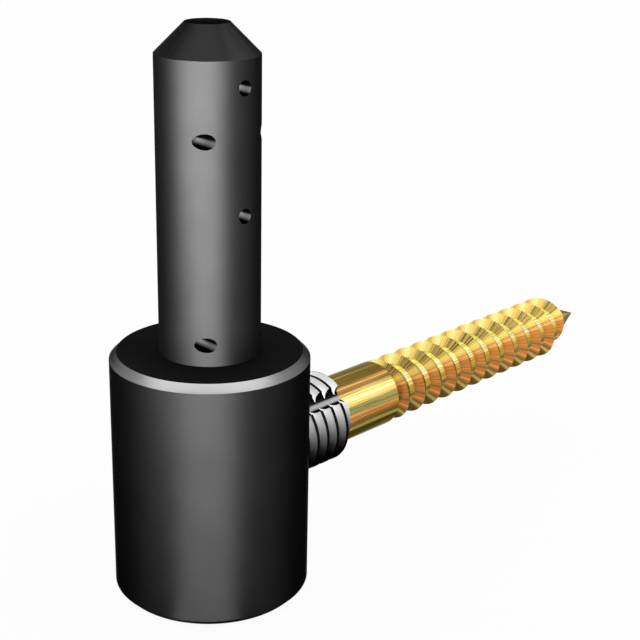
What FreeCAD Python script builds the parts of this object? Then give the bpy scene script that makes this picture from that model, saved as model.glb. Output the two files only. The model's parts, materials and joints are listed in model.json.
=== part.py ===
# Screw-in hinge pin: a chamfered barrel carries an upright pin, and a grooved threaded sleeve
# screwed into its side holds a wood screw that is driven into the frame.
#
# Millimetres. The origin is the centre of the barrel's base, +Z runs up through the pin
# and +X runs out along the wood screw.

import FreeCAD
import Part
import math
import os

from FreeCAD import Vector

# Barrel
barrel_diameter = 20.0
screw_axis_height = 13.6
barrel_above_screw_axis = 12.1
barrel_top_chamfer = 0.75
barrel_base_chamfer = 0.65

# Hinge pin
pin_diameter = 10.1
pin_straight_length = 29.25
pin_nose_diameter = 4.3
pin_nose_angle = 45.0
pin_seat_diameter = 8.0
pin_foot_chamfer = 0.5
pin_seat_web = 1.0

# Drilled pockets that hold grease, all drilled from the -Y side
pocket_diameter = 1.5
pocket_depth = 4.0
drill_point_angle = 118.0
pocket_below_nose = 2.6
pocket_above_barrel = 2.2
side_pocket_angle = 45.6

# Threaded sleeve, over the crests of its M10 x 1.5 thread
sleeve_diameter = 9.9
sleeve_reach = 6.3
sleeve_engagement = 10.0
groove_diameter = 2.0
groove_angle = 47.9

# Wood screw
shank_diameter = 7.4
shank_length = 9.0
wood_thread_diameter = 7.36
wood_core_diameter = 5.2
wood_pitch = 2.88
wood_thread_length = 33.2
wood_near_flank_angle = 30.0
wood_far_flank_angle = 54.0
wood_point_length = 6.8
wood_crest_at_shank = 226.0
spigot_diameter = 5.0
spigot_length = 10.0

# Fits
press_clearance = 0.01
thread_clearance = 0.05
bore_end_clearance = 0.3
cut_overrun = 1.0

# Places that follow from the sizes above
barrel_radius = barrel_diameter / 2
barrel_height = screw_axis_height + barrel_above_screw_axis
pin_radius = pin_diameter / 2
pin_seat_radius = pin_seat_diameter / 2
sleeve_hole_radius = sleeve_diameter / 2 + thread_clearance
sleeve_inner_x = barrel_radius - sleeve_engagement
sleeve_outer_x = barrel_radius + sleeve_reach
pin_seat_z = screw_axis_height + sleeve_hole_radius + pin_seat_web
pin_shoulder_z = barrel_height + pin_straight_length

UP = Vector(0, 0, 1)


def turned(outline):
    """Solid of revolution about +Z from (radius, height) points that start and end on the axis."""
    points = [Vector(radius, 0, height) for radius, height in outline]
    wire = Part.makePolygon(points + points[:1])
    return Part.Face(wire).revolve(Vector(), UP, 360)


def along_screw(shape):
    """Lays a shape that was turned about +Z on the screw's axis, so that its +Z becomes +X."""
    shape.rotate(Vector(), Vector(0, 1, 0), 90)
    shape.translate(Vector(0, 0, screw_axis_height))
    return shape


def make_barrel():
    """Chamfered barrel with the pin's seat in its top and the sleeve's hole in its side."""
    body = turned([
        (0, 0),
        (barrel_radius - barrel_base_chamfer, 0),
        (barrel_radius, barrel_base_chamfer),
        (barrel_radius, barrel_height - barrel_top_chamfer),
        (barrel_radius - barrel_top_chamfer, barrel_height),
        (0, barrel_height),
    ])
    seat = Part.makeCylinder(
        pin_seat_radius + press_clearance, barrel_height - pin_seat_z + cut_overrun,
        Vector(0, 0, pin_seat_z))
    hole = Part.makeCylinder(
        sleeve_hole_radius, sleeve_engagement + cut_overrun, Vector(0, 0, sleeve_inner_x))
    return body.cut(seat).cut(along_screw(hole))


def grease_pocket(angle, height):
    """Drill cut along +Y whose mouth lies on the pin at an angle from -Y towards +X."""
    radius = pocket_diameter / 2
    point = radius / math.tan(math.radians(drill_point_angle / 2))
    straight = pocket_depth + cut_overrun
    drill = turned([(0, 0), (radius, 0), (radius, straight), (0, straight + point)])
    drill.rotate(Vector(), Vector(1, 0, 0), -90)
    sideways = pin_radius * math.sin(math.radians(angle))
    drill.translate(Vector(sideways, -pin_radius - cut_overrun, height))
    return drill


def make_hinge_pin():
    """Pin with a bevelled nose and grease pockets, shouldered on the barrel and pressed into it."""
    nose_radius = pin_nose_diameter / 2
    nose_height = (pin_radius - nose_radius) / math.tan(math.radians(pin_nose_angle))
    pin = turned([
        (0, pin_seat_z),
        (pin_seat_radius - pin_foot_chamfer, pin_seat_z),
        (pin_seat_radius, pin_seat_z + pin_foot_chamfer),
        (pin_seat_radius, barrel_height),
        (pin_radius, barrel_height),
        (pin_radius, pin_shoulder_z),
        (nose_radius, pin_shoulder_z + nose_height),
        (0, pin_shoulder_z + nose_height),
    ])
    half_way = barrel_height + pin_straight_length / 2
    three_quarters = barrel_height + pin_straight_length * 3 / 4
    places = [(0, pin_shoulder_z - pocket_below_nose), (0, half_way)]
    for angle in (-side_pocket_angle, side_pocket_angle):
        places.append((angle, three_quarters))
        places.append((angle, barrel_height + pocket_above_barrel))
    for angle, height in places:
        pin = pin.cut(grease_pocket(angle, height))
    return pin


def make_threaded_sleeve():
    """Sleeve with a half-round groove along it and a blind bore. Its fine thread is left plain."""
    radius = sleeve_diameter / 2
    length = sleeve_outer_x - sleeve_inner_x
    sleeve = Part.makeCylinder(radius, length, Vector(0, 0, sleeve_inner_x))
    groove = Part.makeCylinder(
        groove_diameter / 2, length + 2 * cut_overrun,
        Vector(radius, 0, sleeve_inner_x - cut_overrun))
    groove.rotate(Vector(), UP, -90 - groove_angle)
    bore_depth = spigot_length + bore_end_clearance
    bore = Part.makeCylinder(
        spigot_diameter / 2 + press_clearance, bore_depth + cut_overrun,
        Vector(0, 0, sleeve_outer_x - bore_depth))
    return along_screw(sleeve.cut(groove).cut(bore))


def make_wood_thread(start, end):
    """Sharp helical rib about +Z from the height start to end, sunk some way into its core.

    The flank angles are measured from a plane across the axis: the near flank faces the shank,
    the flatter far one the point. The crest crosses the height start at wood_crest_at_shank,
    measured from -Y towards the side that along_screw turns up.
    """
    near_tangent = math.tan(math.radians(wood_near_flank_angle))
    far_tangent = math.tan(math.radians(wood_far_flank_angle))
    both_tangents = near_tangent + far_tangent
    crest_radius = wood_thread_diameter / 2
    core_radius = wood_core_diameter / 2
    core_flat = wood_pitch - (crest_radius - core_radius) * both_tangents
    sunk_radius = core_radius - core_flat / both_tangents / 2
    sunk_depth = crest_radius - sunk_radius
    first = start - wood_pitch
    section = Part.makePolygon([
        Vector(sunk_radius, 0, first - sunk_depth * near_tangent),
        Vector(crest_radius, 0, first),
        Vector(sunk_radius, 0, first + sunk_depth * far_tangent),
        Vector(sunk_radius, 0, first - sunk_depth * near_tangent),
    ])
    taper = 0
    path = Part.makeLongHelix(wood_pitch, end - start + 2 * wood_pitch, core_radius, taper)
    path.translate(Vector(0, 0, first))
    rib = Part.Wire(path.Edges).makePipeShell([section], True, True)
    rib.rotate(Vector(), UP, -90 - wood_crest_at_shank)
    ends = Part.makeCylinder(crest_radius + cut_overrun, end - start, Vector(0, 0, start))
    return rib.common(ends)


def make_wood_screw():
    """Wood screw with a plain shank, a coarse thread and a spigot pressed into the sleeve."""
    shank_end = sleeve_outer_x + shank_length
    thread_end = shank_end + wood_thread_length
    core_radius = wood_core_diameter / 2
    body = turned([
        (0, sleeve_outer_x - spigot_length),
        (spigot_diameter / 2, sleeve_outer_x - spigot_length),
        (spigot_diameter / 2, sleeve_outer_x),
        (shank_diameter / 2, sleeve_outer_x),
        (shank_diameter / 2, shank_end),
        (core_radius, shank_end),
        (core_radius, thread_end),
        (0, thread_end + wood_point_length),
    ])
    return along_screw(body.fuse(make_wood_thread(shank_end, thread_end)))


PARTS = {
    "barrel": make_barrel,
    "hinge_pin": make_hinge_pin,
    "threaded_sleeve": make_threaded_sleeve,
    "wood_screw": make_wood_screw,
}

os.makedirs("parts", exist_ok=True)
for name, make in PARTS.items():
    shape = make()
    shape.exportStep(os.path.join("parts", name + ".step"))
    print(name, len(shape.Solids), "solid, valid", shape.isValid(), "volume", round(shape.Volume, 1))
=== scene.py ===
import json
import math

import bmesh
import bpy
from mathutils import Matrix, Quaternion, Vector


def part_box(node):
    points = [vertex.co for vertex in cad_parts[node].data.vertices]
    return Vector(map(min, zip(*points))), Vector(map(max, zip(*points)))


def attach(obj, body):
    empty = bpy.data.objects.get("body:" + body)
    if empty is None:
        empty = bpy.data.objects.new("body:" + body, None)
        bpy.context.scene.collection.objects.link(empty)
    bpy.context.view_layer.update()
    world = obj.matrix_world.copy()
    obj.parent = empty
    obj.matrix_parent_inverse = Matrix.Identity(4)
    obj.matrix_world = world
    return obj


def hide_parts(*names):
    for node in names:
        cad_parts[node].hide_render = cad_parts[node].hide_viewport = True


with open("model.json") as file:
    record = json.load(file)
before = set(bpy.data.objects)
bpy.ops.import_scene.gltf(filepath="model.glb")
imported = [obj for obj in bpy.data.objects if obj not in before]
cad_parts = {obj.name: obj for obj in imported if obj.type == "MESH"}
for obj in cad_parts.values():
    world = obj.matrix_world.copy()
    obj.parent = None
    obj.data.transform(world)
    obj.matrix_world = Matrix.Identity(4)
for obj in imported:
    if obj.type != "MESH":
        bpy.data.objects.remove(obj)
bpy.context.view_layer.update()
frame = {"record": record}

MM = 0.001
MOUNTS = {mount["name"]: mount for mount in frame["record"]["mounts"]}

# Places and sizes read from the frame
_, barrel_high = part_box("barrel")
pin_low, pin_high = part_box("hinge_pin")
sleeve_low, sleeve_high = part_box("threaded_sleeve")
screw_low, screw_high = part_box("wood_screw")
barrel_radius = barrel_high.x
barrel_top = barrel_high.z
pin_radius = MOUNTS["hinge_pin"]["dims"]["r_mm"] * MM
pin_shoulder = barrel_top + MOUNTS["hinge_pin"]["dims"]["length_mm"] * MM
sleeve_radius = sleeve_high.y
shank_radius = MOUNTS["screw_shank"]["dims"]["r_mm"] * MM
shank_end = sleeve_high.x + MOUNTS["screw_shank"]["dims"]["length_mm"] * MM
screw_axis = Vector((0, 0, MOUNTS["screw_shank"]["pos_m"][2]))

# Sizes that the frame doesn't give
barrel_top_chamfer = 0.75 * MM
barrel_base_chamfer = 0.65 * MM
edge_round = 0.07 * MM
press_gap = 0.01 * MM
pin_nose_radius = 2.15 * MM
pin_seat_radius = 4.0 * MM
pin_foot_chamfer = 0.5 * MM
pocket_radius = 0.75 * MM
pocket_depth = 4.0 * MM
pocket_below_nose = 2.6 * MM
pocket_above_barrel = 2.2 * MM
side_pocket_angle = math.radians(45.6)
drill_point_angle = math.radians(118)
sleeve_hole_gap = 0.05 * MM
sleeve_pitch = 1.5 * MM
sleeve_root_radius = 4.04 * MM
sleeve_crest_width = 0.4 * MM
sleeve_flank_angle = math.radians(30)
sleeve_crest_at_end = math.radians(117.6)
sleeve_bore_end_gap = 0.3 * MM
spigot_radius = 2.5 * MM
groove_radius = 1.0 * MM
groove_angle = math.radians(47.9)
wood_crest_radius = 3.68 * MM
wood_core_radius = 2.6 * MM
wood_pitch = 2.88 * MM
wood_near_flank_angle = math.radians(30)
wood_far_flank_angle = math.radians(54)
wood_point_length = 6.8 * MM
wood_crest_at_shank = math.radians(226.0)
thread_end = screw_high.x - wood_point_length

# A length too small to show
TINY = 0.01 * MM

LATHE_STEPS = 192
SMOOTH_ANGLE = math.radians(30)


# Shapes


def to_screw_axis(point):
    """Turns a point about +Z into one about the screw's axis, so that +Z becomes +X."""
    return Vector((point.z, point.y, -point.x)) + screw_axis


def around_screw(place, radius, angle):
    """Point beside the screw's axis; the angle runs from -Y towards +Z."""
    return Vector((place, -radius * math.cos(angle), radius * math.sin(angle))) + screw_axis


def with_rounds(corners, radius):
    """Outline whose inner corners are replaced by small arcs. The first and last points stay."""
    steps = 4
    longest_share = 0.45
    outline = [corners[0]]
    for before, corner, after in zip(corners, corners[1:], corners[2:]):
        back = Vector(before) - Vector(corner)
        onward = Vector(after) - Vector(corner)
        inward = back.normalized()
        outward = onward.normalized()
        half = inward.angle(outward) / 2
        reach = min(radius / math.tan(half), back.length * longest_share, onward.length * longest_share)
        middle = Vector(corner) + (inward + outward).normalized() * reach / math.cos(half)
        start = Vector(corner) + inward * reach - middle
        end = Vector(corner) + outward * reach - middle
        for step in range(steps + 1):
            outline.append(tuple(middle + start.slerp(end, step / steps) * start.length))
    return outline + [corners[-1]]


def shade(piece):
    """Smooth shading that stops at sharp edges."""
    piece.data.shade_smooth()
    piece.data.set_sharp_from_angle(angle=SMOOTH_ANGLE)


def new_piece(name, mesh_data, materials):
    """Object in the scene from a finished mesh."""
    mesh = bpy.data.meshes.new(name)
    bmesh.ops.recalc_face_normals(mesh_data, faces=mesh_data.faces)
    mesh_data.to_mesh(mesh)
    mesh_data.free()
    for material in materials:
        mesh.materials.append(material)
    piece = bpy.data.objects.new(name, mesh)
    bpy.context.scene.collection.objects.link(piece)
    shade(piece)
    return piece


def lathe(name, outline, materials, turn=None, material_of=None, steps=LATHE_STEPS):
    """Solid of revolution about +Z from (radius, height) points that start and end on the axis.

    Turn moves each of its points, and material_of gives the material of the strip after a point.
    """
    mesh_data = bmesh.new()
    rings = []
    for radius, height in outline:
        if radius == 0:
            rings.append([mesh_data.verts.new((0, 0, height))])
            continue
        rings.append([
            mesh_data.verts.new((radius * math.cos(a), radius * math.sin(a), height))
            for a in (2 * math.pi * step / steps for step in range(steps))])
    for index, (lower, upper) in enumerate(zip(rings, rings[1:])):
        for step in range(steps):
            following = (step + 1) % steps
            corners = [lower[step % len(lower)], lower[following % len(lower)],
                       upper[following % len(upper)], upper[step % len(upper)]]
            face = mesh_data.faces.new(list(dict.fromkeys(corners)))
            if material_of:
                face.material_index = material_of(index)
    if turn:
        for vertex in mesh_data.verts:
            vertex.co = turn(vertex.co)
    return new_piece(name, mesh_data, materials)


def drill(radius, start, end, material, point=0.0, steps=96):
    """Cutter between two points, with a drill's point beyond the end if one is given."""
    length = (end - start).length
    lay = Matrix.Translation(start) @ (end - start).to_track_quat("Z", "Y").to_matrix().to_4x4()
    outline = [(0, 0), (radius, 0), (radius, length), (0, length + point)]
    return lathe("drill", outline, [material], turn=lambda corner: lay @ corner, steps=steps)


def round_wall(piece, radius):
    """Turns the shading of an upright round wall straight out, so that cuts in it leave no trace."""
    mesh = piece.data
    nearly_outward = 0.9
    normals = [Vector(corner.vector) for corner in mesh.corner_normals]
    for face in mesh.polygons:
        for corner in face.loop_indices:
            place = mesh.vertices[mesh.loops[corner].vertex_index].co
            outward = Vector((place.x, place.y, 0)).normalized()
            on_wall = abs(place.xy.length - radius) < TINY
            if on_wall and face.normal.dot(outward) > nearly_outward:
                normals[corner] = outward
    mesh.normals_split_custom_set(normals)


def combine(piece, tool, operation):
    """Cuts a tool from a piece or joins it on, keeps the tool's materials and deletes the tool."""
    modifier = piece.modifiers.new("combine", "BOOLEAN")
    modifier.operation = operation
    modifier.solver = "EXACT"
    modifier.material_mode = "TRANSFER"
    modifier.object = tool
    result = bpy.data.meshes.new_from_object(
        piece.evaluated_get(bpy.context.evaluated_depsgraph_get()))
    piece.modifiers.clear()
    piece.data = result
    bpy.data.objects.remove(tool)
    shade(piece)


def threaded_rod(name, profile, pitch, start, end, angle_at_start, materials, strips, steps=160):
    """Closed rod with a right-hand thread about the screw's axis, cut flat at start and end.

    The profile gives (place, radius) points over one pitch, from a crest at place 0, and strips
    gives the material of the strip that follows each point.
    """
    extra_turns = 1.5
    turns = math.ceil((end - start) / pitch + 2 * extra_turns)
    first = start - extra_turns * pitch
    first_angle = angle_at_start + extra_turns * 2 * math.pi
    mesh_data = bmesh.new()
    rings = []
    for step in range(turns * steps + 1):
        turn = step / steps
        rings.append([
            mesh_data.verts.new(around_screw(
                first + pitch * turn + place, radius, first_angle - 2 * math.pi * turn))
            for place, radius in profile])
    count = len(profile)
    for step in range((turns - 1) * steps):
        for index in range(count):
            beside = (step, index + 1) if index + 1 < count else (step + steps, 0)
            corners = [
                rings[step][index],
                rings[beside[0]][beside[1]],
                rings[beside[0] + 1][beside[1]],
                rings[step + 1][index],
            ]
            mesh_data.faces.new(corners).material_index = strips[index]
    for place, direction in ((start, -1), (end, 1)):
        cut = bmesh.ops.bisect_plane(
            mesh_data, geom=mesh_data.verts[:] + mesh_data.edges[:] + mesh_data.faces[:],
            plane_co=(place, 0, 0), plane_no=(direction, 0, 0), clear_outer=True)
        rim = [item for item in cut["geom_cut"] if isinstance(item, bmesh.types.BMEdge)]
        for cap in bmesh.ops.contextual_create(mesh_data, geom=rim)["faces"]:
            cap.material_index = strips[0]
    loose = [vertex for vertex in mesh_data.verts if not vertex.link_faces]
    bmesh.ops.delete(mesh_data, geom=loose, context="VERTS")
    return new_piece(name, mesh_data, materials)


# Materials


class Surface:
    """A principled material, with short ways to add and join its nodes."""

    def __init__(self, name, **plain_values):
        self.material = bpy.data.materials.new(name)
        self.material.use_nodes = True
        self.tree = self.material.node_tree
        self.shader = self.tree.nodes["Principled BSDF"]
        for socket, value in plain_values.items():
            self.shader.inputs[socket.replace("_", " ")].default_value = value
        self.place = self.node("ShaderNodeTexCoord").outputs["Object"]

    def node(self, kind, inputs=None, **settings):
        node = self.tree.nodes.new(kind)
        for name, value in settings.items():
            setattr(node, name, value)
        for socket, value in (inputs or {}).items():
            self.feed(node.inputs[socket], value)
        return node

    def feed(self, socket, value):
        """Links an output into a socket, or sets a plain value on it."""
        if isinstance(value, bpy.types.NodeSocket):
            self.tree.links.new(value, socket)
        else:
            socket.default_value = value

    def set(self, socket, value):
        self.feed(self.shader.inputs[socket], value)

    def math(self, operation, first, second=0.0):
        """Result of a calculation with one or two numbers."""
        return self.node("ShaderNodeMath", {0: first, 1: second}, operation=operation).outputs[0]

    def vector(self, operation, first, second=(0, 0, 0)):
        """Vector that a calculation with one or two vectors gives."""
        return self.node("ShaderNodeVectorMath", {0: first, 1: second}, operation=operation).outputs[0]

    def measure(self, operation, first, second=(0, 0, 0)):
        """Number that a calculation with one or two vectors gives."""
        node = self.node("ShaderNodeVectorMath", {0: first, 1: second}, operation=operation)
        return node.outputs["Value"]

    def split(self, vector):
        return self.node("ShaderNodeSeparateXYZ", {0: vector}).outputs

    def noise(self, vector, scale, detail=2.0, roughness=0.5):
        inputs = {"Vector": vector, "Scale": scale, "Detail": detail, "Roughness": roughness}
        return self.node("ShaderNodeTexNoise", inputs).outputs["Fac"]

    def range(self, value, low, high, to_low=0.0, to_high=1.0):
        """Number carried over from one range to another, and held at its ends."""
        inputs = {"Value": value, "From Min": low, "From Max": high, "To Min": to_low, "To Max": to_high}
        return self.node("ShaderNodeMapRange", inputs).outputs["Result"]

    def stretched(self, noise, to_low, to_high):
        """Noise carried over to a range. It mostly lies between 0.3 and 0.7."""
        return self.range(noise, 0.3, 0.7, to_low, to_high)

    def mix(self, factor, first, second, blend="MIX"):
        """Mixed colours, which the node takes on its sockets 6 and 7."""
        node = self.node("ShaderNodeMix", data_type="RGBA", blend_type=blend)
        self.feed(node.inputs["Factor"], factor)
        self.feed(node.inputs[6], first)
        self.feed(node.inputs[7], second)
        return node.outputs[2]

    def ramp(self, value, stops):
        """Colour ramp through (place, colour) stops."""
        node = self.node("ShaderNodeValToRGB", {"Fac": value})
        elements = node.color_ramp.elements
        while len(elements) < len(stops):
            elements.new(1.0)
        for element, (place, colour) in zip(elements, stops):
            element.position = place
            element.color = colour
        return node.outputs["Color"]

    def bump(self, height, strength, distance):
        inputs = {"Height": height, "Strength": strength, "Distance": distance}
        self.set("Normal", self.node("ShaderNodeBump", inputs).outputs["Normal"])

    def normal(self):
        return self.node("ShaderNodeTexCoord").outputs["Normal"]

    def facing(self, direction):
        """1 where the surface faces a direction, less elsewhere."""
        return self.measure("DOT_PRODUCT", self.normal(), direction)

    def number_mix(self, factor, first, second):
        """Mixed numbers, which the node takes on its sockets 2 and 3."""
        return self.node("ShaderNodeMix", {"Factor": factor, 2: first, 3: second}).outputs[0]

    def scaled(self, colour, factor):
        """Colour times a number that changes over the surface."""
        grey_factor = self.node("ShaderNodeCombineColor", {0: factor, 1: factor, 2: factor}).outputs[0]
        return self.mix(1.0, colour, grey_factor, "MULTIPLY")

    def round_screw(self):
        """Direction and distance from the screw's axis, and the angle from -Y towards +Z.

        The angle runs from 0 at half a turn back to 1 at half a turn on.
        """
        across = self.vector("SUBTRACT", self.place, tuple(screw_axis))
        across = self.vector("MULTIPLY", across, (0, 1, 1))
        direction = self.vector("NORMALIZE", across)
        _, y, z = self.split(direction)
        angle = self.math("ARCTAN2", z, self.math("MULTIPLY", y, -1.0))
        return direction, self.measure("LENGTH", across), self.range(angle, -math.pi, math.pi)


def grey(value):
    return (value, value, value, 1)


BLACK_GRAIN = 9000.0
CUT_GRAIN = 6000.0


def make_black(name, tone, roughness):
    """Satin black coating: nearly even, with a faint grain and cloudiness."""
    surface = Surface(name, Metallic=1.0, Specular_Tint=(0, 0, 0, 1))
    cloud = surface.noise(surface.place, 260.0, detail=3.0)
    grain = surface.noise(surface.place, BLACK_GRAIN)
    surface.set("Base Color", surface.mix(cloud, grey(tone * 0.85), grey(tone * 1.15)))
    surface.set("Roughness", surface.stretched(grain, roughness - 0.03, roughness + 0.03))
    surface.bump(grain, strength=0.15, distance=0.004 * MM)
    return surface.material


def make_nose_painted_shade(front):
    """Satin black of the pin's bevelled nose with painted shade: darkest on its flat top, dark where it
    faces front.
    """
    surface = Surface("nose_painted_shade", Metallic=1.0, Specular_Tint=(0, 0, 0, 1))
    grain = surface.noise(surface.place, BLACK_GRAIN)
    painted_shade_front_tone = 0.0105
    painted_light_side_tone = 0.037
    painted_shade_top_tone = 0.002
    # Painted shade: darkest on the flat top and dark on the front, painted lighter on the sides
    on_top = surface.range(surface.facing((0, 0, 1)), 0.8, 0.95)
    tone = surface.range(surface.facing(front), 0.9, 0.66, painted_shade_front_tone, painted_light_side_tone)
    tone = surface.number_mix(on_top, tone, painted_shade_top_tone)
    surface.set("Base Color", surface.scaled(grey(1.0), tone))
    surface.set("Roughness", surface.stretched(grain, 0.43, 0.49))
    return surface.material


def make_bright():
    """Bare turned metal of the chamfer, with faint tool marks that run round the barrel."""
    surface = Surface("bright_chamfer", Metallic=1.0, Specular_Tint=(0, 0, 0, 1))
    marks = surface.noise(surface.vector("MULTIPLY", surface.place, (60, 60, 9000)), 1.0, detail=3.0)
    surface.set("Base Color", surface.mix(marks, grey(0.13), grey(0.18)))
    surface.set("Roughness", surface.stretched(marks, 0.3, 0.38))
    return surface.material


def make_steel():
    """Dull cut flanks of the sleeve's thread, with painted shade: bright on top and dark below."""
    surface = Surface("cut_steel_painted_shade", Metallic=0.3, Specular_IOR_Level=0.0, Specular_Tint=(0, 0, 0, 1))
    _, _, height = surface.split(surface.round_screw()[0])
    marks = surface.noise(surface.vector("MULTIPLY", surface.place, (9000, 80, 80)), 1.0, detail=3.0)
    # Painted shade: the tone rises with height round the screw, from near black below to white near the
    # top
    tone = surface.ramp(surface.range(height, -1.0, 1.0), [
        (0.0, grey(0.002)), (0.24, grey(0.003)), (0.36, grey(0.035)), (0.5, grey(0.22)), (0.6, grey(0.41)),
        (0.75, grey(0.73)), (0.86, grey(1.0)), (1.0, grey(0.6))])
    surface.set("Base Color", surface.scaled(tone, surface.stretched(marks, 0.92, 1.05)))
    surface.set("Roughness", surface.stretched(marks, 0.4, 0.5))
    return surface.material


def make_cut_painted_highlight(name, middle, wide, painted_shade_tone, tone, painted_light_deep_tone=None, depth=None, power=None):
    """Inside of a groove or drilled hole: a painted highlight where its wall faces a direction, painted
    shade elsewhere.

    With a depth, the painted highlight changes to the deep tone that far in from the pin's wall, the
    later the higher the power is. Farther inside it has its first tone again.
    """
    surface = Surface(name, Metallic=0.5, Specular_IOR_Level=0.0, Specular_Tint=(0, 0, 0, 1))
    if depth:
        radius = surface.measure("LENGTH", surface.vector("MULTIPLY", surface.place, (1, 1, 0)))
        deep = pin_radius - depth
        fading = 0.95 * deep
        faded = 0.8 * deep
        inside = surface.math("POWER", surface.range(radius, pin_radius, deep), power)
        inside = surface.math("MINIMUM", inside, surface.range(radius, faded, fading))
        tone = surface.range(inside, 0.0, 1.0, tone, painted_light_deep_tone)
    grain = surface.noise(surface.place, CUT_GRAIN)
    # Painted highlight where the wall faces the direction, painted shade elsewhere
    painted_band = surface.mix(surface.range(surface.facing(middle), wide, 1.0), grey(painted_shade_tone),
                       surface.scaled(grey(1.0), tone))
    surface.set("Base Color", surface.scaled(painted_band, surface.stretched(grain, 0.9, 1.1)))
    surface.set("Roughness", surface.stretched(grain, 0.4, 0.48))
    return surface.material


CREAM = (1.0, 0.94, 0.46, 1)
LEMON = (0.99, 0.88, 0.2, 1)
STRAW = (0.97, 0.86, 0.31, 1)
PALE = (0.92, 0.80, 0.29, 1)
YELLOW = (0.95, 0.72, 0.17, 1)
GOLD = (0.90, 0.62, 0.17, 1)
HONEY = (0.90, 0.52, 0.17, 1)
AMBER = (0.87, 0.44, 0.13, 1)
ORANGE = (0.66, 0.265, 0.065, 1)
OCHRE = (0.60, 0.42, 0.12, 1)
MUSTARD = (0.60, 0.41, 0.065, 1)
OLIVE = (0.37, 0.30, 0.10, 1)
BROWN = (0.24, 0.145, 0.04, 1)
UMBER = (0.12, 0.075, 0.018, 1)
DARK_OLIVE = (0.07, 0.052, 0.012, 1)
GREENER = (0.75, 0.95, 0.9, 1)

# Tints of the wood screw at degrees round it, from -Y towards +Z: yellow zinc tints that also hold painted
# reflection, with painted highlights and darker bands
SHANK_TINTS_AND_REFLECTIONS = (
    (-180, OLIVE), (-150, GOLD), (-110, AMBER), (-60, OLIVE), (-40, DARK_OLIVE), (-20, DARK_OLIVE),
    (-17, OLIVE), (-13, OLIVE), (-9, BROWN), (-4, BROWN), (-1, ORANGE), (5, ORANGE), (9, AMBER),
    (12, OLIVE), (23, OLIVE), (26, GOLD), (30, HONEY), (35, PALE), (39, PALE), (42, GOLD), (46, HONEY),
    (49, OCHRE), (55, BROWN), (59, AMBER), (63, AMBER), (66, BROWN), (82, BROWN), (87, OLIVE),
    (93, BROWN), (120, OLIVE), (150, GOLD), (180, OLIVE))
FLANK_TINTS_AND_REFLECTIONS = (
    (-180, OLIVE), (-120, BROWN), (-62, UMBER), (-50, UMBER), (-45, OLIVE), (-43, OCHRE), (-40, OCHRE),
    (-36, BROWN), (-32, BROWN), (-24, ORANGE), (-9, ORANGE), (-5, BROWN), (-1, ORANGE), (24, ORANGE),
    (29, AMBER), (34, AMBER), (42, YELLOW), (49, YELLOW), (54, GOLD), (60, OCHRE), (69, GOLD),
    (75, OLIVE), (79, GOLD), (86, GOLD), (94, YELLOW), (99, STRAW), (107, STRAW), (113, YELLOW),
    (118, GOLD), (123, OCHRE), (140, YELLOW), (180, OLIVE))
ROOT_TINTS_AND_REFLECTIONS = (
    (-180, GOLD), (-120, OLIVE), (-60, OCHRE), (-38, OLIVE), (-25, MUSTARD), (-17, OLIVE), (-12, BROWN),
    (-7, OLIVE), (0, MUSTARD), (12, MUSTARD), (19, GOLD), (24, YELLOW), (29, CREAM), (49, CREAM),
    (54, LEMON), (80, LEMON), (86, GOLD), (92, OCHRE), (98, OLIVE), (103, OCHRE), (112, GOLD),
    (130, YELLOW), (180, GOLD))
FACETS = 44
SOFT_EDGE = 0.05 * MM


def screw_angle(degrees):
    """Angle round the screw in degrees, brought to round_screw's scale from 0 to 1."""
    return degrees / 360 + 0.5


def tints_round(surface, angle, tints):
    """Colour that changes round the screw through (degrees, tint) pairs."""
    return surface.ramp(angle, [(screw_angle(degrees), tint) for degrees, tint in tints])


def zone(surface, angle, start, full, fading, end):
    """1 on a stretch round the screw and 0 beyond it, with soft ends. All four are in degrees."""
    return surface.math("MINIMUM", surface.range(angle, screw_angle(start), screw_angle(full)),
                        surface.range(angle, screw_angle(end), screw_angle(fading)))


def flank_painted_reflection(surface, x, angle, streaks):
    """Painted reflection on the thread's near flanks.

    They have facets with a dark edge each and fine lines, which are bold on one stretch, and are
    smooth on two others. Up to 68 degrees round they are painted lighter towards the point.
    """
    facet = surface.math("MULTIPLY", angle, FACETS)
    number = surface.math("FLOOR", facet)
    own = surface.node("ShaderNodeTexWhiteNoise", {"W": number}, noise_dimensions="1D").outputs["Value"]
    edge = surface.range(surface.math("FRACT", facet), 0.0, 0.18, 0.38, 1.0)
    facets = surface.math("MULTIPLY", surface.range(own, 0.0, 1.0, 0.8, 1.2), edge)

    fine_lines = surface.range(streaks, 0.34, 0.44, 0.55, 1.06)
    bold_lines = surface.range(streaks, 0.44, 0.54, 0.3, 1.3)
    lines = surface.number_mix(zone(surface, angle, 46, 52, 76, 84), fine_lines, bold_lines)
    lined = surface.math("MULTIPLY", facets, lines)

    smooth = zone(surface, angle, 36, 41, 48, 52)
    smooth = surface.math("MAXIMUM", smooth, surface.range(angle, screw_angle(82), screw_angle(90)))
    shading = surface.number_mix(smooth, lined, surface.range(streaks, 0.3, 0.5, 0.85, 1.15))

    farther_round = surface.range(angle, screw_angle(68), screw_angle(76))
    towards_point = surface.range(x, shank_end, thread_end, 0.87, 1.2)
    return surface.math("MULTIPLY", shading, surface.number_mix(farther_round, towards_point, 1.0))


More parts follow.
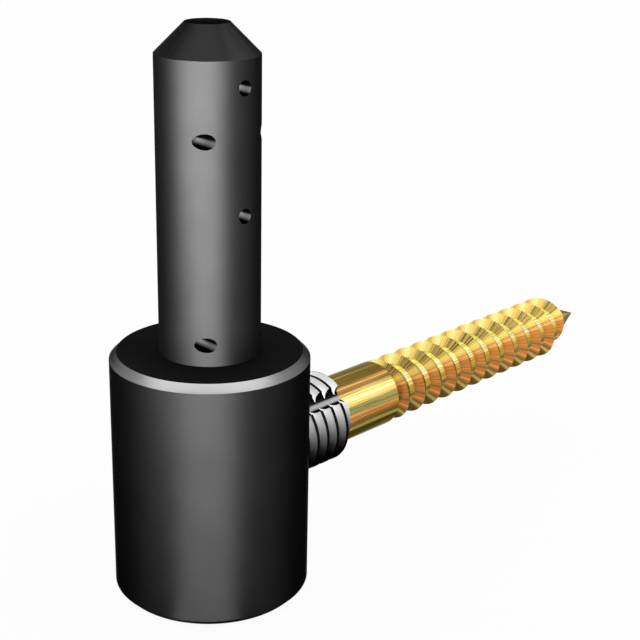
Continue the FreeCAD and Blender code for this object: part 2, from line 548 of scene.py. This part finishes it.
def make_gold():
    """Yellow passivated zinc with painted reflection: its tint changes round the screw and lies in streaks
    along it.
    """
    surface = Surface("yellow_zinc", Specular_IOR_Level=0.0, Specular_Tint=(0.52, 0.49, 0.4, 1))
    direction, radius, angle = surface.round_screw()
    x, _, _ = surface.split(surface.place)
    lean, _, _ = surface.split(surface.normal())
    in_root = surface.range(radius, wood_core_radius + 3 * SOFT_EDGE, wood_core_radius + SOFT_EDGE)
    on_near_flank = surface.range(lean, -0.3, -0.6)
    on_tip = surface.range(x, thread_end, thread_end + SOFT_EDGE)

    # Painted reflection: tints round the screw with painted highlights and darker bands; the point is
    # darker
    plain = tints_round(surface, angle, SHANK_TINTS_AND_REFLECTIONS)
    tint = surface.mix(in_root, plain, tints_round(surface, angle, ROOT_TINTS_AND_REFLECTIONS))
    tint = surface.mix(on_near_flank, tint, tints_round(surface, angle, FLANK_TINTS_AND_REFLECTIONS))
    tint = surface.mix(on_tip, tint, surface.scaled(plain, 0.55))
    metallic = surface.number_mix(in_root, 1.0, 0.1)
    metallic = surface.number_mix(on_near_flank, metallic, 0.6)
    surface.set("Metallic", surface.number_mix(on_tip, metallic, 0.4))

    along = surface.node("ShaderNodeCombineXYZ", {"X": surface.math("MULTIPLY", x, 2.0)}).outputs[0]
    streak_place = surface.vector("ADD", direction, along)
    streaks = surface.noise(streak_place, 34.0, detail=4.0, roughness=0.8)
    hues = surface.noise(streak_place, 21.0)
    greener = surface.number_mix(on_near_flank, surface.range(hues, 0.42, 0.58, 0.0, 0.35), 0.0)
    tint = surface.mix(greener, tint, surface.mix(1.0, tint, GREENER, "MULTIPLY"))
    shade_elsewhere = surface.range(streaks, 0.4, 0.6, 0.38, 1.4)
    shading = surface.number_mix(on_near_flank, shade_elsewhere, flank_painted_reflection(surface, x, angle, streaks))
    surface.set("Base Color", surface.scaled(tint, shading))
    surface.set("Roughness", surface.stretched(streaks, 0.22, 0.32))
    return surface.material


# Directions where the painted highlights in the groove and the pockets are brightest
groove_highlight_angle = groove_angle + math.radians(7)
pocket_highlight_angle = math.radians(21)
# Side of the pin's nose that is painted darker
nose_shaded_side_angle = math.radians(213)
groove_highlight_facing = (0, -math.cos(groove_highlight_angle), math.sin(groove_highlight_angle))
pocket_highlight_facing = (-math.cos(pocket_highlight_angle), 0, math.sin(pocket_highlight_angle))
nose_shaded_side = Vector((math.cos(nose_shaded_side_angle), math.sin(nose_shaded_side_angle), 1)).normalized()

barrel_black = make_black("barrel_black", tone=0.015, roughness=0.42)
pin_black = make_black("pin_black", tone=0.021, roughness=0.46)
thread_black = make_black("thread_black", tone=0.01, roughness=0.5)
# Groove and pockets with painted highlights and painted shade
groove_painted_highlight = make_cut_painted_highlight("groove_painted_highlight", groove_highlight_facing, wide=0.93, painted_shade_tone=0.004, tone=0.32)
pocket_painted_highlight = make_cut_painted_highlight("pocket_painted_highlight", pocket_highlight_facing, wide=0.88, painted_shade_tone=0.001,
                        tone=0.11, painted_light_deep_tone=0.85, depth=1.4 * MM, power=2.6)
side_pocket_painted_highlight = make_cut_painted_highlight("side_pocket_painted_highlight", pocket_highlight_facing, wide=0.88, painted_shade_tone=0.001,
                             tone=0.055, painted_light_deep_tone=0.65, depth=1.75 * MM, power=4.7)
nose_painted_shade = make_nose_painted_shade(nose_shaded_side)
# Painted light: the barrel's top face is painted lighter than the rest of the barrel's black
top_black_painted_light = make_black("top_black_painted_light", tone=0.03, roughness=0.42)
bright = make_bright()
steel = make_steel()
gold = make_gold()


# Pieces


def make_barrel():
    """Chamfered barrel with the pin's seat in its top and the sleeve's hole in its side."""
    seat = pin_seat_radius + press_gap
    outline = with_rounds([
        (0, 0),
        (barrel_radius - barrel_base_chamfer, 0),
        (barrel_radius, barrel_base_chamfer),
        (barrel_radius, barrel_top - barrel_top_chamfer),
        (barrel_radius - barrel_top_chamfer, barrel_top),
        (seat, barrel_top),
        (seat, pin_low.z),
        (0, pin_low.z),
    ], edge_round)

    def material_of(index):
        """1 on the top chamfer, 2 on the top face, 0 elsewhere."""
        radius = (outline[index][0] + outline[index + 1][0]) / 2
        height = (outline[index][1] + outline[index + 1][1]) / 2
        if radius > barrel_radius - barrel_top_chamfer and height > barrel_top - barrel_top_chamfer:
            return 1
        return 2 if height > barrel_top - edge_round else 0

    barrel = lathe("barrel_shell", outline, [barrel_black, bright, top_black_painted_light], material_of=material_of)
    hole = drill(sleeve_radius + sleeve_hole_gap, screw_axis + Vector((sleeve_low.x, 0, 0)),
                 screw_axis + Vector((2 * barrel_radius, 0, 0)), barrel_black, steps=160)
    combine(barrel, hole, "DIFFERENCE")
    round_wall(barrel, barrel_radius)
    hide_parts("barrel")
    return barrel


def make_pin():
    """Pin with a bevelled nose, a seat spigot and six drilled grease pockets."""
    outline = with_rounds([
        (0, pin_low.z),
        (pin_seat_radius - pin_foot_chamfer, pin_low.z),
        (pin_seat_radius, pin_low.z + pin_foot_chamfer),
        (pin_seat_radius, barrel_top),
        (pin_radius, barrel_top),
        (pin_radius, pin_shoulder),
        (pin_nose_radius, pin_high.z),
        (0, pin_high.z),
    ], edge_round)

    def material_of(index):
        """1 on the bevelled nose, 0 elsewhere."""
        return int((outline[index][1] + outline[index + 1][1]) / 2 > pin_shoulder)

    pin = lathe("pin_body", outline, [pin_black, nose_painted_shade], material_of=material_of)
    half_way = (barrel_top + pin_shoulder) / 2
    three_quarters = (half_way + pin_shoulder) / 2
    places = [(0, pin_shoulder - pocket_below_nose), (0, half_way)]
    for angle in (-side_pocket_angle, side_pocket_angle):
        places.append((angle, three_quarters))
        places.append((angle, barrel_top + pocket_above_barrel))
    for angle, height in places:
        sideways = pin_radius * math.sin(angle)
        pocket = drill(pocket_radius, Vector((sideways, -2 * pin_radius, height)),
                       Vector((sideways, pocket_depth - pin_radius, height)),
                       side_pocket_painted_highlight if angle else pocket_painted_highlight,
                       point=pocket_radius / math.tan(drill_point_angle / 2), steps=64)
        combine(pin, pocket, "DIFFERENCE")
    round_wall(pin, pin_radius)
    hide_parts("hinge_pin")
    return pin


def make_sleeve():
    """Sleeve with a fine thread, a half-round groove along it and a blind bore."""
    half_crest = sleeve_crest_width / 2
    flank = (sleeve_radius - sleeve_root_radius) * math.tan(sleeve_flank_angle)
    profile = [
        (-half_crest, sleeve_radius),
        (half_crest, sleeve_radius),
        (half_crest + flank, sleeve_root_radius),
        (sleeve_pitch - half_crest - flank, sleeve_root_radius),
    ]
    length = sleeve_high.x - sleeve_low.x
    crest_at_start = sleeve_crest_at_end + 2 * math.pi * length / sleeve_pitch
    sleeve = threaded_rod("sleeve_thread", profile, sleeve_pitch, sleeve_low.x, sleeve_high.x,
                          crest_at_start, [thread_black, steel], (0, 1, 1, 1))
    overrun = 1 * MM
    groove = drill(groove_radius, around_screw(sleeve_low.x - overrun, sleeve_radius, groove_angle),
                   around_screw(sleeve_high.x + overrun, sleeve_radius, groove_angle), groove_painted_highlight)
    combine(sleeve, groove, "DIFFERENCE")
    bore = drill(spigot_radius + press_gap, screw_axis + Vector((screw_low.x - sleeve_bore_end_gap, 0, 0)),
                 screw_axis + Vector((2 * sleeve_high.x, 0, 0)), barrel_black)
    combine(sleeve, bore, "DIFFERENCE")
    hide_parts("threaded_sleeve")
    return sleeve


def make_screw():
    """Wood screw with a spigot, a plain shank, a coarse thread and a point.

    The thread overlaps the shank, and the point's body reaches into the thread's core.
    """
    height = wood_crest_radius - wood_core_radius
    profile = [
        (0, wood_crest_radius),
        (height * math.tan(wood_far_flank_angle), wood_core_radius),
        (wood_pitch - height * math.tan(wood_near_flank_angle), wood_core_radius),
    ]
    overlap = 0.4 * MM
    crest_at_start = wood_crest_at_shank + 2 * math.pi * overlap / wood_pitch
    screw = threaded_rod("wood_screw_body", profile, wood_pitch, shank_end - overlap, thread_end,
                         crest_at_start, [gold], (0, 0, 0))
    shank = lathe("shank", with_rounds([
        (0, screw_low.x),
        (spigot_radius, screw_low.x),
        (spigot_radius, sleeve_high.x),
        (shank_radius, sleeve_high.x),
        (shank_radius, shank_end),
        (0, shank_end),
    ], edge_round), [gold], turn=to_screw_axis)
    combine(screw, shank, "UNION")
    tip_radius = wood_core_radius - TINY
    tip = lathe("tip", [
        (0, thread_end - wood_point_length),
        (tip_radius, thread_end - wood_point_length),
        (tip_radius, thread_end),
        (0, screw_high.x),
    ], [gold], turn=to_screw_axis)
    combine(screw, tip, "UNION")
    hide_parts("wood_screw")
    return screw


for make in (make_barrel, make_pin, make_sleeve, make_screw):
    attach(make(), "root")


# Floor, lights and camera

# Camera that was fitted to the photograph
CAMERA_PLACE = Vector((-88.449, -97.412, 75.873)) * MM
CAMERA_FORWARD = Vector((0.6883, 0.6424, -0.3370))
CAMERA_ROLL = math.radians(1.108)
CAMERA_LENS = 79.47
SENSOR_WIDTH = 36.0
CAMERA_SIDE = math.degrees(math.atan2(-CAMERA_FORWARD.y, -CAMERA_FORWARD.x))

FLOOR_RADIUS = 4.0
FLOOR_WHITE_SHARE = 0.93
REFLECTOR_HEIGHT = 0.1 * MM

# Nearest and farthest point from the barrel's axis in millimetres, turn from the camera's side in
# degrees, width as a share of the middle distance, and radiance
REFLECTORS = (
    (10.3, 14, 0, 0.72, 5.5),
    (14, 20, 0, 0.85, 5.5),
    (20, 30, 0, 0.95, 6.5),
    (30, 45, 0, 1.0, 8.5),
    (45, 68, 0, 1.05, 10.8),
    (68, 110, 0, 1.1, 10.8),
    (110, 250, -11, 1.6, 20.5),
    (250, 700, -12, 2.2, 60.0),
)


def shown(surface):
    """1 on rays that show the surroundings: straight to the camera, off metal or through glass."""
    rays = surface.node("ShaderNodeLightPath").outputs
    seen = surface.math("MAXIMUM", rays["Is Camera Ray"], rays["Is Glossy Ray"])
    return surface.math("MAXIMUM", seen, rays["Is Transmission Ray"])


def make_floor():
    """Plain white floor that keeps a soft shadow."""
    mesh_data = bmesh.new()
    bmesh.ops.create_circle(mesh_data, cap_ends=True, segments=128, radius=FLOOR_RADIUS)
    surface = Surface("pale_floor", Base_Color=grey(0.9), Roughness=0.9)
    glow = surface.node("ShaderNodeEmission", {"Color": grey(1.0), "Strength": 1.0})
    mixed = surface.node("ShaderNodeMixShader")
    surface.feed(mixed.inputs[0], surface.math("MULTIPLY", shown(surface), FLOOR_WHITE_SHARE))
    surface.feed(mixed.inputs[1], surface.shader.outputs[0])
    surface.feed(mixed.inputs[2], glow.outputs[0])
    surface.feed(surface.tree.nodes["Material Output"].inputs["Surface"], mixed.outputs[0])
    new_piece("floor", mesh_data, [surface.material])


def make_world():
    """White surroundings."""
    world = bpy.data.worlds.new("studio")
    world.use_nodes = True
    world.node_tree.nodes["Background"].inputs["Color"].default_value = grey(1.0)
    bpy.context.scene.world = world


def from_axis(side, distance, height):
    """Point at a distance from the barrel's axis; side is its bearing in degrees from +X."""
    angle = math.radians(side)
    return Vector((distance * math.cos(angle), distance * math.sin(angle), height))


def piece_group(name, *pieces):
    """Collection of pieces that a lamp can be linked to."""
    collection = bpy.data.collections.new(name)
    for piece in pieces:
        collection.objects.link(bpy.data.objects[piece])
    return collection


def softbox(name, place, turn, width, length, radiance, lit):
    """Soft rectangular lamp that lights some pieces and isn't seen itself. Unturned it faces down."""
    data = bpy.data.lights.new(name, "AREA")
    data.shape = "RECTANGLE"
    data.size = width
    data.size_y = length
    data.energy = radiance * math.pi * width * length
    lamp = bpy.data.objects.new(name, data)
    lamp.location = place
    lamp.rotation_mode = "QUATERNION"
    lamp.rotation_quaternion = turn
    lamp.visible_camera = False
    lamp.light_linking.receiver_collection = lit
    bpy.context.scene.collection.objects.link(lamp)
    return lamp


def aimed_softbox(name, place, width, length, radiance, lit):
    """Soft lamp that points at the middle of the barrel's top."""
    turn = (Vector((0, 0, barrel_top)) - place).to_track_quat("-Z", "Y")
    softbox(name, place, turn, width, length, radiance, lit)


def reflector(name, side, near, far, width, radiance, lit, shading):
    """Lamp that lies flat beside the object and lights its upright walls from below.

    Only the shading pieces throw a shadow in its light.
    """
    turn = Quaternion((0, 0, 1), math.radians(side - 90)) @ Quaternion((1, 0, 0), math.pi)
    place = from_axis(side, (near + far) / 2, REFLECTOR_HEIGHT)
    lamp = softbox(name, place, turn, width, far - near, radiance, lit)
    lamp.data.cycles.use_multiple_importance_sampling = False
    lamp.light_linking.blocker_collection = shading


def make_lights():
    """Flat reflectors before the black pieces, and soft lamps above for each kind of metal."""
    black_pieces = piece_group("black_pieces", "barrel_shell", "pin_body")
    shading_pieces = piece_group("shading_pieces", "pin_body")
    turned_pieces = piece_group("turned_pieces", "barrel_shell", "pin_body", "sleeve_thread")
    yellow_pieces = piece_group("yellow_pieces", "wood_screw_body")
    for index, (near, far, turn, share, radiance) in enumerate(REFLECTORS):
        width = (near + far) / 2 * share * MM
        reflector("front_reflector_%d" % index, CAMERA_SIDE + turn, near * MM, far * MM, width, radiance,
                  black_pieces, shading_pieces)
    aimed_softbox("overhead_wide", from_axis(CAMERA_SIDE, distance=0.06, height=0.4),
                  width=0.8, length=0.3, radiance=3.9, lit=turned_pieces)
    aimed_softbox("overhead", from_axis(CAMERA_SIDE, distance=0.14, height=0.4),
                  width=0.2, length=0.2, radiance=2.7, lit=yellow_pieces)
    aimed_softbox("right_front", from_axis(side=-35, distance=0.4, height=0.25),
                  width=0.25, length=0.2, radiance=0.9, lit=yellow_pieces)


def make_camera():
    """Camera at the photograph's place and angle."""
    data = bpy.data.cameras.new("camera")
    data.lens = CAMERA_LENS
    data.sensor_width = SENSOR_WIDTH
    data.clip_start = 1 * MM
    data.clip_end = 20
    camera = bpy.data.objects.new("camera", data)
    camera.location = CAMERA_PLACE
    camera.rotation_mode = "QUATERNION"
    level = CAMERA_FORWARD.to_track_quat("-Z", "Y")
    camera.rotation_quaternion = level @ Quaternion((0, 0, 1), CAMERA_ROLL)
    bpy.context.scene.collection.objects.link(camera)
    bpy.context.scene.camera = camera


make_floor()
make_world()
make_lights()
make_camera()
bpy.context.scene.view_settings.view_transform = "Standard"
